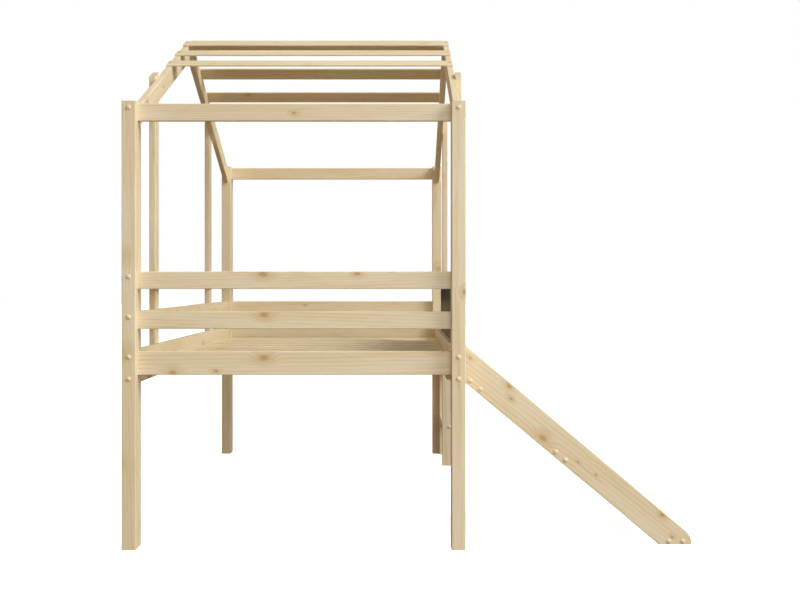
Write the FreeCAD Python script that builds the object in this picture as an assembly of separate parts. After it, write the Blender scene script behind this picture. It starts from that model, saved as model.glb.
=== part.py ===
"""Low house bed in solid pine, with a slide, a ladder and a chalkboard.

Millimetres, with Z up from the floor. X runs across the bed towards the slide, and Y runs
along it from the foot end to the head end. The pieces are worked out about the middle of
the bed, and at the end the whole bed is set over the middle of the floor that it covers.
"""
import FreeCAD, Part
import math
import os

from FreeCAD import Placement, Rotation, Vector

# Mattress space: between the posts, and between the two end boards
clear_width = 900
clear_length = 2010

# Corner posts
post_width = 40
post_depth = 80
post_height = 1280

# Boards between the posts
board_thickness = 20
board_height = 50
end_rail_height = 68
side_rail_height = 98
top_beam_drop = 4
upper_guard_top = 794
lower_guard_top = 679
end_rail_top = 565
side_rail_top = 568

# Slatted deck on its two cleats
cleat_thickness = 20
cleat_height = 25
cleat_lift = 7.5
cleat_end_gap = 26
deck_slat_count = 14
deck_slat_width = 70
deck_slat_thickness = 16
deck_margin = 60
deck_side_gap = 1

# Roof
roof_pitch = 21.4
rafter_depth = 56
rafter_drop = 12
peak_cut = 3
ridge_beam_thickness = 32
ridge_beam_height = 20
ridge_beam_rise = 4
roof_slat_count = 3
roof_slat_width = 75
roof_slat_thickness = 6
roof_slat_ridge_gap = 2
roof_slat_pitch = 178.5

# Studs outside the long sides, each an opening's width from its post
stud_thickness = 20
stud_width = 60
stud_rise = 9
opening_width = 369

# Chalkboard on the inner faces of the slide side's two studs
chalkboard_thickness = 6
chalkboard_lap = 45

# Ladder
stile_thickness = 24
stile_depth = 60
stile_top_drop = 6
tread_thickness = 24
lower_tread_top = 174
upper_tread_top = 396

# Slide
cheek_thickness = 20
cheek_rise = 23
cheek_lift = 11
slide_gap = 1
slide_reach = 672
toe_length = 95
nose_height = 25
nose_tangent_share = 0.86
slide_bed_thickness = 10
slide_bar_thickness = 28
slide_bar_width = 70
top_bar_from_rail = 43
middle_bar_from_rail = 366
toe_bar_thickness = 20
toe_bar_width = 76
toe_bar_end_gap = 9

# Domed cap bolts and small wood screws
bolt_radius = 3
bolt_grip = 40
cap_radius = 7
cap_height = 3.5
screw_radius = 2
screw_bite = 14
screw_head_radius = 4
screw_head_height = 1.2
screw_sink = 1.5
bore_clearance = 0.3
bore_tip = 1
end_bolt_share = 0.34
guard_bolt_share = 0.7
rail_bolt_share = 0.18
rafter_bolt_share = 0.11
rail_screw_share = 0.75
stile_bolt_share = 0.37
slide_bolt_share = 0.62
bar_bolt_share = 0.27
chalkboard_screw_shares = (0.12, 0.5, 0.88)

# Rounded edges of the planed boards
edge_round = 2.5
edge_round_share = 0.3

# Places that follow from the sizes above
half_width = clear_width / 2 + post_width
rail_x = clear_width / 2 + post_width / 2
rail_inner = rail_x - board_thickness / 2
rail_outer = rail_x + board_thickness / 2
end_board_y = clear_length / 2 + board_thickness / 2
half_length = end_board_y + post_depth / 2
side_end = half_length - post_depth
side_rail_bottom = side_rail_top - side_rail_height
cleat_bottom = side_rail_bottom + cleat_lift
cleat_top = cleat_bottom + cleat_height
deck_top = cleat_top + deck_slat_thickness
stud_outer_y = side_end - opening_width
stud_inner_y = stud_outer_y - stud_width
stud_middle_y = stud_outer_y - stud_width / 2
pitch = math.radians(roof_pitch)
rafter_seat = post_height - rafter_drop
rafter_upright = rafter_depth / math.cos(pitch)
peak = rafter_seat + side_end * math.tan(pitch)
peak_flat = peak - peak_cut
first_roof_slat = ridge_beam_thickness / 2 / math.cos(pitch) + roof_slat_ridge_gap
ladder_inner_y = (stud_outer_y + stile_thickness, side_end - stile_thickness)
cheek_low = side_rail_bottom + cheek_lift
cheek_high = side_rail_top + cheek_rise
slide_run = slide_reach - toe_length
low_edge_angle = math.atan(cheek_low / slide_run)
high_edge_angle = math.atan((cheek_high - nose_height) / slide_reach)
slide_near = -side_end + slide_gap
slide_far = -stud_outer_y - slide_gap

UP = Vector(0, 0, 1)
ALONG = Vector(0, 1, 0)
ACROSS = Vector(1, 0, 0)

nodes = {}
fixings = {}


def is_parallel(edge, direction):
    """True for a straight edge that runs along the direction."""
    if not isinstance(edge.Curve, Part.Line):
        return False
    return round(edge.Curve.Direction.cross(direction).Length, 6) == 0


def eased(solid, direction, thickness):
    """The solid with the edges along one direction rounded over."""
    radius = min(edge_round, edge_round_share * thickness)
    return solid.makeFillet(radius, [edge for edge in solid.Edges if is_parallel(edge, direction)])


def board(low, high, direction):
    """A straight board between two corners, rounded along its length."""
    size = high - low
    block = Part.makeBox(size.x, size.y, size.z, low)
    return eased(block, direction, min(size.x, size.y, size.z))


def prism(corners, sweep):
    """The solid swept from a flat outline of straight edges."""
    return Part.Face(Part.makePolygon(corners + corners[:1])).extrude(sweep)


def roof_height(y):
    """Height of the rafters' upper face at a place along the bed."""
    return peak - abs(y) * math.tan(pitch)


def slide_low(x):
    """Height of the slide's lower edge at a place across the bed."""
    return cheek_low - (x - rail_outer) * math.tan(low_edge_angle)


def drive(group, seat, direction, depth, is_bolt):
    """Note one bolt or screw, with its head on the seat and its shank along the direction."""
    fixings.setdefault(group, []).append((seat, direction, depth, is_bolt))


def make_posts():
    for end_name, end in (("foot", -1), ("head", 1)):
        for side_name, side in (("left", -1), ("right", 1)):
            x = sorted((side * clear_width / 2, side * half_width))
            y = sorted((end * side_end, end * half_length))
            low = Vector(x[0], y[0], 0)
            high = Vector(x[1], y[1], post_height)
            nodes[f"{end_name}_{side_name}_post"] = board(low, high, UP)


def make_end_boards():
    boards = (
        ("top_beam", post_height - top_beam_drop, board_height),
        ("upper_guard", upper_guard_top, board_height),
        ("lower_guard", lower_guard_top, board_height),
        ("rail", end_rail_top, end_rail_height),
    )
    for end_name, end in (("foot", -1), ("head", 1)):
        for board_name, top, height in boards:
            y = end * end_board_y
            low = Vector(-clear_width / 2, y - board_thickness / 2, top - height)
            high = Vector(clear_width / 2, y + board_thickness / 2, top)
            nodes[f"{end_name}_{board_name}"] = board(low, high, ACROSS)
            for side in (-1, 1):
                seat = Vector(side * half_width, y, top - height + end_bolt_share * height)
                drive("end_board_bolts", seat, ACROSS * -side, post_width + bolt_grip, True)


def make_side_board(name, side, top, height):
    """One board of a long side, from post to post and centred on them."""
    x = side * rail_x
    low = Vector(x - board_thickness / 2, -side_end, top - height)
    high = Vector(x + board_thickness / 2, side_end, top)
    nodes[name] = board(low, high, ALONG)


def make_sides():
    depth = post_depth + bolt_grip
    left_guards = (("left_upper_guard", upper_guard_top), ("left_lower_guard", lower_guard_top))
    for side_name, side, guards in (("left", -1, left_guards), ("right", 1, ())):
        make_side_board(f"{side_name}_side_rail", side, side_rail_top, side_rail_height)
        heights = [
            side_rail_top - rail_bolt_share * side_rail_height,
            side_rail_bottom + rail_bolt_share * side_rail_height,
            rafter_seat - rafter_bolt_share * rafter_upright,
        ]
        for guard_name, top in guards:
            make_side_board(guard_name, side, top, board_height)
            heights.append(top - board_height + guard_bolt_share * board_height)
        for end in (-1, 1):
            for height in heights:
                seat = Vector(side * rail_x, end * half_length, height)
                drive("post_end_bolts", seat, ALONG * -end, depth, True)


def make_rafters():
    flat_half = peak_cut / math.tan(pitch)
    for end_name, end in (("foot", -1), ("head", 1)):
        slope = Vector(0, -end * math.cos(pitch), math.sin(pitch))
        for side_name, side in (("left", -1), ("right", 1)):
            x = side * rail_x - board_thickness / 2
            corners = [
                Vector(x, end * side_end, rafter_seat - rafter_upright),
                Vector(x, 0, peak - rafter_upright),
                Vector(x, 0, peak_flat),
                Vector(x, end * flat_half, peak_flat),
                Vector(x, end * side_end, rafter_seat),
            ]
            rafter = prism(corners, ACROSS * board_thickness)
            nodes[f"{side_name}_{end_name}_rafter"] = eased(rafter, slope, board_thickness)


def make_ridge_beam():
    top = peak_flat + ridge_beam_rise
    low = Vector(-rail_inner, -ridge_beam_thickness / 2, top - ridge_beam_height)
    high = Vector(rail_inner, ridge_beam_thickness / 2, top)
    nodes["ridge_beam"] = board(low, high, ACROSS)
    for side in (-1, 1):
        for end in (-1, 1):
            seat = Vector(side * rail_outer, end * ridge_beam_thickness / 4, top - ridge_beam_height / 2)
            drive("roof_screws", seat, ACROSS * -side, board_thickness + screw_bite, False)


def make_roof_slats():
    for end_name, end in (("foot", -1), ("head", 1)):
        down = Vector(0, end * math.cos(pitch), -math.sin(pitch))
        out = Vector(0, end * math.sin(pitch), math.cos(pitch))
        for number in range(roof_slat_count):
            upper = Vector(0, 0, peak) + down * (first_roof_slat + number * roof_slat_pitch)
            first = upper - ACROSS * rail_outer
            lower = down * roof_slat_width
            rise = out * roof_slat_thickness
            slat = prism([first, first + lower, first + lower + rise, first + rise], ACROSS * 2 * rail_outer)
            nodes[f"{end_name}_roof_slat_{number + 1}"] = eased(slat, ACROSS, roof_slat_thickness)
            for side in (-1, 1):
                seat = upper + lower / 2 + rise + ACROSS * side * rail_x
                drive("roof_screws", seat, -out, roof_slat_thickness + screw_bite, False)


def make_studs():
    on_rail = side_rail_bottom + rail_screw_share * side_rail_height
    on_guards = (upper_guard_top - board_height / 2, lower_guard_top - board_height / 2)
    for end_name, end in (("foot", -1), ("head", 1)):
        near = end * stud_inner_y
        far = end * stud_outer_y
        for side_name, side, crossings in (("left", -1, on_guards), ("right", 1, ())):
            x = min(side * rail_outer, side * (rail_outer + stud_thickness))
            corners = [
                Vector(x, near, side_rail_bottom),
                Vector(x, far, side_rail_bottom),
                Vector(x, far, roof_height(far) + stud_rise),
                Vector(x, near, roof_height(near) + stud_rise),
            ]
            stud = prism(corners, ACROSS * stud_thickness)
            nodes[f"{side_name}_{end_name}_stud"] = eased(stud, UP, stud_thickness)
            middle = end * stud_middle_y
            for height in crossings + (on_rail, roof_height(middle) - rafter_upright / 2):
                seat = Vector(side * rail_inner, middle, height)
                drive("stud_screws", seat, ACROSS * side, board_thickness + screw_bite, False)


def make_deck():
    first = -clear_length / 2 + deck_margin + deck_slat_width / 2
    step = -2 * first / (deck_slat_count - 1)
    places = [first + number * step for number in range(deck_slat_count)]
    half_slat = rail_inner - deck_side_gap
    slats = []
    for y in places:
        low = Vector(-half_slat, y - deck_slat_width / 2, cleat_top)
        high = Vector(half_slat, y + deck_slat_width / 2, deck_top)
        slat = board(low, high, ACROSS)
        for side in (-1, 1):
            seat = Vector(side * (rail_inner - cleat_thickness / 2), y, deck_top - screw_sink)
            slat = slat.cut(Part.makeCylinder(screw_head_radius + bore_clearance, screw_sink, seat, UP))
            drive("deck_screws", seat, -UP, deck_slat_thickness - screw_sink + screw_bite, False)
        slats.append(slat)
    nodes["deck_slats"] = slats
    cleat_reach = side_end - cleat_end_gap
    for side_name, side in (("left", -1), ("right", 1)):
        x = sorted((side * rail_inner, side * (rail_inner - cleat_thickness)))
        low = Vector(x[0], -cleat_reach, cleat_bottom)
        high = Vector(x[1], cleat_reach, cleat_top)
        nodes[f"{side_name}_cleat"] = board(low, high, ALONG)
        for y in places[:-1:2]:
            height = cleat_bottom + cleat_height / 2
            seat = Vector(side * (rail_inner - cleat_thickness), y + step / 2, height)
            drive("cleat_screws", seat, ACROSS * side, cleat_thickness + screw_bite, False)


def make_chalkboard():
    """A thin panel that stands on the side rail and is screwed to the studs from inside."""
    inside = rail_outer - chalkboard_thickness
    reach = stud_inner_y + chalkboard_lap
    low = Vector(inside, -reach, side_rail_top)
    high = Vector(rail_outer, reach, upper_guard_top)
    nodes["chalkboard"] = board(low, high, ALONG)
    for end in (-1, 1):
        for share in chalkboard_screw_shares:
            height = side_rail_top + share * (upper_guard_top - side_rail_top)
            seat = Vector(inside, end * (reach - chalkboard_lap / 2), height)
            drive("chalkboard_screws", seat, ACROSS, chalkboard_thickness + screw_bite, False)


def make_ladder():
    outside = rail_outer + stile_depth
    stiles = (("foot", stud_outer_y, 1), ("head", side_end, -1))
    for end_name, outer_y, inward in stiles:
        y = sorted((outer_y, outer_y + inward * stile_thickness))
        low = Vector(rail_outer, y[0], 0)
        high = Vector(outside, y[1], side_rail_top - stile_top_drop)
        nodes[f"ladder_{end_name}_stile"] = board(low, high, UP)
        inset = stile_bolt_share * side_rail_height
        for height in (side_rail_bottom + inset, side_rail_top - inset):
            seat = Vector(outside, outer_y + inward * stile_thickness / 2, height)
            drive("ladder_bolts", seat, -ACROSS, stile_depth + board_thickness / 2, True)
        for top in (lower_tread_top, upper_tread_top):
            seat = Vector(rail_outer + stile_depth / 2, outer_y, top - tread_thickness / 2)
            drive("ladder_bolts", seat, ALONG * inward, stile_thickness + bolt_grip, True)
    for name, top in (("lower", lower_tread_top), ("upper", upper_tread_top)):
        low = Vector(rail_outer, ladder_inner_y[0], top - tread_thickness)
        high = Vector(outside, ladder_inner_y[1], top)
        nodes[f"ladder_{name}_tread"] = board(low, high, ALONG)


def cheek_outline():
    """The flat outline of a slide cheek, with its rounded nose."""
    toe = rail_outer + slide_reach
    tangent = nose_tangent_share * nose_height
    turn = math.pi / 2 - high_edge_angle
    radius = tangent / math.tan(turn / 2)
    corner = Vector(toe, 0, nose_height)
    nose_start = corner + Vector(-math.cos(high_edge_angle), 0, math.sin(high_edge_angle)) * tangent
    nose_end = corner - UP * tangent
    centre = nose_end - ACROSS * radius
    nose_middle = centre + Vector(math.cos(turn / 2), 0, math.sin(turn / 2)) * radius
    top_left = Vector(rail_outer, 0, cheek_high)
    low_left = Vector(rail_outer, 0, cheek_low)
    heel = Vector(rail_outer + slide_run, 0, 0)
    toe_end = Vector(toe, 0, 0)
    edges = [
        Part.LineSegment(low_left, heel).toShape(),
        Part.LineSegment(heel, toe_end).toShape(),
        Part.LineSegment(toe_end, nose_end).toShape(),
        Part.Arc(nose_end, nose_middle, nose_start).toShape(),
        Part.LineSegment(nose_start, top_left).toShape(),
        Part.LineSegment(top_left, low_left).toShape(),
    ]
    return Part.Face(Part.Wire(edges))


def make_slide():
    outline = cheek_outline()
    high_edge = Vector(math.cos(high_edge_angle), 0, -math.sin(high_edge_angle))
    low_edge = Vector(math.cos(low_edge_angle), 0, -math.sin(low_edge_angle))
    square = Vector(math.sin(low_edge_angle), 0, math.cos(low_edge_angle))
    inner = (slide_near + cheek_thickness, slide_far - cheek_thickness)
    between = ALONG * (inner[1] - inner[0])
    for name, start in (("foot", slide_near), ("head", inner[1])):
        blank = outline.translated(ALONG * start).extrude(ALONG * cheek_thickness)
        blank = eased(blank, high_edge, cheek_thickness)
        nodes[f"slide_{name}_cheek"] = eased(blank, low_edge, cheek_thickness)

    corner = Vector(rail_outer, inner[0], cheek_low)
    bolts = []
    places = (("top", top_bar_from_rail), ("middle", middle_bar_from_rail))
    for name, place in places:
        start = corner + low_edge * (place - slide_bar_width / 2)
        width = low_edge * slide_bar_width
        rise = square * slide_bar_thickness
        corners = [start, start + width, start + width + rise, start + rise]
        nodes[f"slide_{name}_bar"] = prism(corners, between)
        for side in (-1, 1):
            bolts.append(corner + low_edge * (place + side * bar_bolt_share * slide_bar_width) + rise / 2)

    toe_end = rail_outer + slide_reach - toe_bar_end_gap
    toe_start = toe_end - toe_bar_width
    low = Vector(toe_start, inner[0], 0)
    nodes["slide_toe_bar"] = Part.makeBox(toe_bar_width, between.y, toe_bar_thickness, low)
    for side in (-1, 1):
        along = toe_start + toe_bar_width / 2 + side * bar_bolt_share * toe_bar_width
        bolts.append(Vector(along, inner[0], toe_bar_thickness / 2))

    under = slide_bar_thickness / math.cos(low_edge_angle)
    over = under + slide_bed_thickness / math.cos(low_edge_angle)
    corners = [
        Vector(rail_outer, inner[0], cheek_low + under),
        Vector(toe_start, inner[0], slide_low(toe_start) + under),
        Vector(toe_start, inner[0], slide_low(toe_start) + over),
        Vector(rail_outer, inner[0], cheek_low + over),
    ]
    nodes["slide_bed"] = prism(corners, between)

    for place in bolts:
        for start, inward in ((slide_near, 1), (slide_far, -1)):
            seat = Vector(place.x, start, place.z)
            drive("slide_bolts", seat, ALONG * inward, cheek_thickness + bolt_grip, True)
    hook = side_rail_bottom + slide_bolt_share * side_rail_height
    for start in (slide_near, inner[1]):
        seat = Vector(rail_inner, start + cheek_thickness / 2, hook)
        drive("slide_bolts", seat, ACROSS, board_thickness + bolt_grip, True)


def fastener(seat, direction, depth, is_bolt):
    """One bolt or screw: a domed head on its seat, with its shank in the wood."""
    shank_radius = bolt_radius if is_bolt else screw_radius
    head_radius = cap_radius if is_bolt else screw_head_radius
    head_height = cap_height if is_bolt else screw_head_height
    dome = (head_radius ** 2 + head_height ** 2) / (2 * head_height)
    half_angle = math.asin(head_radius / dome) / 2
    rim = Vector(head_radius, 0, 0)
    crown = Vector(0, 0, head_height)
    shoulder = crown + Vector(math.sin(half_angle), 0, math.cos(half_angle) - 1) * dome
    middle = Vector(0, 0, 0)
    edges = [
        Part.LineSegment(middle, rim).toShape(),
        Part.Arc(rim, shoulder, crown).toShape(),
        Part.LineSegment(crown, middle).toShape(),
    ]
    head = Part.Face(Part.Wire(edges)).revolve(middle, UP, 360)
    shank = Part.makeCylinder(shank_radius, depth, middle, -UP)
    solid = head.fuse(shank).removeSplitter()
    solid.Placement = Placement(seat, Rotation(-UP, direction))
    return solid


def bore(seat, direction, depth, is_bolt):
    """The clearance hole of one bolt or screw."""
    radius = (bolt_radius if is_bolt else screw_radius) + bore_clearance
    return Part.makeCylinder(radius, depth + bore_tip, seat, direction)


def bored(solid, bores):
    """The solid with every clearance hole that reaches it."""
    reaching = [hole for hole in bores if hole.BoundBox.intersect(solid.BoundBox)]
    if not reaching:
        return solid
    return solid.cut(reaching)


def only_solid(shape):
    """The one solid that a shape holds."""
    if len(shape.Solids) != 1:
        raise ValueError("a piece has come apart")
    return shape.Solids[0]


def main():
    make_posts()
    make_end_boards()
    make_sides()
    make_rafters()
    make_ridge_beam()
    make_roof_slats()
    make_studs()
    make_deck()
    make_chalkboard()
    make_ladder()
    make_slide()

    bores = [bore(*fixing) for group in fixings.values() for fixing in group]
    pieces = {}
    for name, shape in nodes.items():
        solids = shape if isinstance(shape, list) else [shape]
        pieces[name] = [only_solid(bored(solid, bores)) for solid in solids]
    for name, group in fixings.items():
        pieces[name] = [only_solid(fastener(*fixing)) for fixing in group]

    whole = Part.makeCompound([solid for solids in pieces.values() for solid in solids])
    box = whole.optimalBoundingBox()
    middle = Vector(-(box.XMin + box.XMax) / 2, -(box.YMin + box.YMax) / 2, -box.ZMin)
    os.makedirs("parts", exist_ok=True)
    for name, solids in pieces.items():
        placed = [solid.translated(middle) for solid in solids]
        shape = placed[0] if len(placed) == 1 else Part.makeCompound(placed)
        shape.exportStep(f"parts/{name}.step")
    print("nodes", len(pieces), "box", box.XLength, box.YLength, box.ZLength, "moved", middle)


main()
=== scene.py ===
"""Looks of the pine house bed with its slide, ladder and chalkboard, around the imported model."""
import math

import bmesh
import bpy
from mathutils import Matrix, Vector


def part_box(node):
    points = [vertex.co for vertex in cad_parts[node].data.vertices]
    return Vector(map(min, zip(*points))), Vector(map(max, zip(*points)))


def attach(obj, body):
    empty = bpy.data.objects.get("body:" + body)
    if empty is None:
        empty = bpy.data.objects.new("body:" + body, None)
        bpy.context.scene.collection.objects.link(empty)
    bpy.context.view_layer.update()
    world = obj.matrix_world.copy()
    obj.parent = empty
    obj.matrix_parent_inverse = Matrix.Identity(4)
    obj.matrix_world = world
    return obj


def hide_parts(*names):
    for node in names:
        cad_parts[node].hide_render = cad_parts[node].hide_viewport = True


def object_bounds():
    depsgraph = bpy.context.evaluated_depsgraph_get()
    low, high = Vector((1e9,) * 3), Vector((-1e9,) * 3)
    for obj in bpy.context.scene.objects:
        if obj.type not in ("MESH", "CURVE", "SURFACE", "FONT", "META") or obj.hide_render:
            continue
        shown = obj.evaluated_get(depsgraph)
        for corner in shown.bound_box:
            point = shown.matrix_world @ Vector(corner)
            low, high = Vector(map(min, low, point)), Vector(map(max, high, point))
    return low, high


bl_info = {
    "name": "House bed looks",
    "version": (1, 0, 0),
    "blender": (4, 5, 0),
    "location": "View3D > Sidebar > House bed",
    "description": "Dresses a pine house bed with slide, ladder and chalkboard",
    "category": "Object",
}

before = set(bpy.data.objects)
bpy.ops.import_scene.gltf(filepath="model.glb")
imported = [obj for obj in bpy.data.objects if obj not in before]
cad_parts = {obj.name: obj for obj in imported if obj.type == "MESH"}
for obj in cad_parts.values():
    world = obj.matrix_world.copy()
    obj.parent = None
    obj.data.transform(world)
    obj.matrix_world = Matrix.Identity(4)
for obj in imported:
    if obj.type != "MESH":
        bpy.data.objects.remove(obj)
cad_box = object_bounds()

BODY = "root"
MM = 0.001
ACROSS = Vector((1, 0, 0))
ALONG = Vector((0, 1, 0))
UP = Vector((0, 0, 1))
ENDS = ("foot", "head")
SIDES = ("left", "right")

# The photograph's frame, in pixels: its width, its middle, the point that the camera looks at and the focal
# length. The camera's sensor is in millimetres.
PHOTO_WIDTH = 800
PHOTO_MIDDLE = (400, 300)
LOOK_PIXEL = (398.6, 283.0)
FOCAL_PIXELS = 1260
SENSOR_WIDTH = 36

# Knots that the photograph shows on the boards facing it: the pixel and the radius
PHOTO_KNOTS = {
    "foot_top_beam": (((294, 113), 5 * MM),),
    "foot_upper_guard": (((263, 274), 10 * MM),),
    "foot_lower_guard": (((264, 315), 10 * MM),),
    "foot_rail": (((264, 358), 10 * MM), ((216, 371), 5 * MM)),
    "foot_right_post": (((465, 292), 6 * MM),),
    "slide_foot_cheek": (((470, 358), 5 * MM), ((509, 386), 7 * MM), ((543, 438), 10 * MM),
                         ((578, 462), 3 * MM), ((596, 475), 3 * MM), ((662, 515), 6 * MM),
                         ((672, 537), 4 * MM)),
}
PHOTO_KNOT_STRETCH = 1.7

# How far away, in its own radii, a knot that isn't there counts as
NO_KNOT = 20

# Knots and resin streaks are scattered in cells, at most one to a cell. A cell has a length along the grain,
# a width and a depth, and a stretch says how many times longer than wide its mark is. A share of the cells
# hold a mark, and the smallest mark has a share of the largest one's radius.
KNOT_CELL_WIDTH = 85 * MM
KNOT_CELL_DEPTH = 60 * MM
KNOT_STRETCH = 1.8
RESIN_CELL = (210 * MM, 70 * MM, 50 * MM)
RESIN_RADIUS = 3.5 * MM
RESIN_STRETCH = 6.0
MARKED_CELLS_SHARE = 0.45
SMALLEST_MARK_SHARE = 0.45
MARK_DEPTH_IN_RADII = 1.6
CELL_SCATTER = 0.85

# Where a mark starts to fade and where it ends, in its own radii from its middle
KNOT_CORE = (0.4, 1.5)
KNOT_HALO = (0.8, 3.6)
RESIN_EDGE = (0.3, 1.2)

# A knot's outline wobbles by a share of its radius and this many times in a radius, and its rings turn by
# this many radians in a radius
KNOT_WOBBLE_SHARE = 0.5
KNOT_WOBBLES = 0.6
KNOT_TURN = 11.0

# How much a knot's colour, the stain round it and resin cover the wood, and how much smoother a knot is
KNOT_COVER_SHARE = 0.85
STAIN_COVER_SHARE = 0.45
RESIN_COVER_SHARE = 0.6
KNOT_POLISH = 0.1

# The year rings: a wave texture's spacing at a scale of one, how slowly they change along the board, how
# many radians further a knot pushes them, and how high late wood stands beside the fibres
WAVE_SPACING = math.tau / 20
RING_ALONG_SHARE = 0.05
RING_PUSH = 9.0
LATE_WOOD_LIFT = 0.6

# Streaks along the grain: fibres, honey patches and dark wisps, and the relief that the plane leaves. The
# fibres are drawn coarser than real ones, so that they show.
FIBRE_STRETCH = 40
PATCH_LENGTH = 454.5 * MM
PATCH_WIDTH = 45.45 * MM
WISP_LENGTH = 111.1 * MM
WISP_WIDTH = 4.762 * MM
GRAIN_RELIEF = 0.4 * MM

# How the boards lie in one log: the step along it from board to board, the drift across it, the distance
# from its pith and the change in that, and the lean of the grain. The uneven turns, in radians from board
# to board, keep boards from looking alike. Slats in one node are cut some pitches apart along the log.
LOG_STEP = 370 * MM
LOG_DRIFT = 21 * MM
PITH_DISTANCE = 55 * MM
PITH_CHANGE = 20 * MM
GRAIN_LEAN = math.radians(1.2)
LEAN_TURN = 2.4
DRIFT_TURN = 1.7
PITH_TURN = 2.9
SLAT_JUMP_IN_PITCHES = 7.3

# Patterns on the fittings, drawn coarser than real ones so that they show, and the stipple's relief
CAP_MOTTLE = 3 * MM
ZINC_BLOTCH = 1.2 * MM
ROLLER_STIPPLE = 2 * MM
STIPPLE_RELIEF = 0.2 * MM

# Streaks of chalk dust, wiped along the board
DUST_LENGTH = 333.3 * MM
DUST_HEIGHT = 71.43 * MM

# The heads of the bolts and screws. The shares are of a cap's lip, and of a screw head's radius and height.
WELD = 0.005 * MM
FLAT_COSINE = 0.999
DOME_STEPS = 6
CAP_SIDES = 28
LIP_EDGE_SHARE = 0.2
SCREW_SIDES = 16
RECESS_MIDDLE_SHARE = 0.2
RECESS_ARM_SHARE = 0.45
RECESS_ARM_POWER = 6
RECESS_DEPTH_SHARE = 0.8
SHARP_ANGLE = math.radians(40)

# Where along its lean the sky is darkest and brightest
SKY_DARKEST = -0.5
SKY_BRIGHTEST = 0.9

# The range that nearly all of a noise texture lies in
NOISE_LOW = 0.3
NOISE_HIGH = 0.7

# A colour Mix node's sockets
MIX_A = 6
MIX_B = 7
MIX_RESULT = 2


def linear(colour):
    """An sRGB hex colour as linear red, green and blue."""
    parts = [int(colour[place:place + 2], 16) / 255 for place in (1, 3, 5)]
    return [part / 12.92 if part <= 0.04045 else ((part + 0.055) / 1.055) ** 2.4 for part in parts]


def opaque(colour):
    """A linear colour with full alpha, as a colour socket takes it."""
    return (*colour, 1.0)


def add(tree, kind, inputs=None, **settings):
    """Add one node with its settings, and give its sockets values or links."""
    made = tree.nodes.new(kind)
    for name, value in settings.items():
        setattr(made, name, value)
    for socket, value in (inputs or {}).items():
        if isinstance(value, bpy.types.NodeSocket):
            tree.links.new(value, made.inputs[socket])
        else:
            made.inputs[socket].default_value = value
    return made


class PineLook(bpy.types.PropertyGroup):
    """Colours and grain of the planed pine."""

    early: bpy.props.FloatVectorProperty(
        name="Early wood", description="Pale spring growth",
        subtype="COLOR", default=linear("#EBDDBF"))
    late: bpy.props.FloatVectorProperty(
        name="Late wood", description="Darker summer growth",
        subtype="COLOR", default=linear("#CFB07C"))
    honey: bpy.props.FloatVectorProperty(
        name="Honey", description="Warm patches in the board",
        subtype="COLOR", default=linear("#E7D5B0"))
    knot_light: bpy.props.FloatVectorProperty(
        name="Knot", description="Middle of a knot",
        subtype="COLOR", default=linear("#C9A163"))
    knot_dark: bpy.props.FloatVectorProperty(
        name="Knot rim", description="Rings and rim of a knot",
        subtype="COLOR", default=linear("#A87C42"))
    ring_spacing: bpy.props.FloatProperty(
        name="Ring spacing", description="From one year's growth to the next",
        unit="LENGTH", default=5.5 * MM)
    fibre_spacing: bpy.props.FloatProperty(
        name="Fibre spacing", description="Width of the streaks of fibre",
        unit="LENGTH", default=1.6 * MM)
    knot_spacing: bpy.props.FloatProperty(
        name="Knot spacing", description="Along the board between knots",
        unit="LENGTH", default=260 * MM)
    knot_radius: bpy.props.FloatProperty(
        name="Knot radius", description="Radius of a large knot",
        unit="LENGTH", default=9 * MM)


class FittingsLook(bpy.types.PropertyGroup):
    """Colours and sizes of the caps, the screws and the chalkboard."""

    cap: bpy.props.FloatVectorProperty(
        name="Cover cap", description="Moulded cap over a bolt",
        subtype="COLOR", default=linear("#EAD8B3"))
    zinc: bpy.props.FloatVectorProperty(
        name="Screw", description="Yellow zinc on a screw",
        subtype="COLOR", default=linear("#D2B981"))
    slate: bpy.props.FloatVectorProperty(
        name="Chalkboard", description="Black board paint",
        subtype="COLOR", default=linear("#120F0D"))
    chalk: bpy.props.FloatVectorProperty(
        name="Chalk dust", description="Thin bloom of dust on the board",
        subtype="COLOR", default=linear("#B8B4AC"))
    cap_lip: bpy.props.FloatProperty(
        name="Cap lip", description="Height of the lip round a cap",
        unit="LENGTH", default=0.9 * MM)


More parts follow.
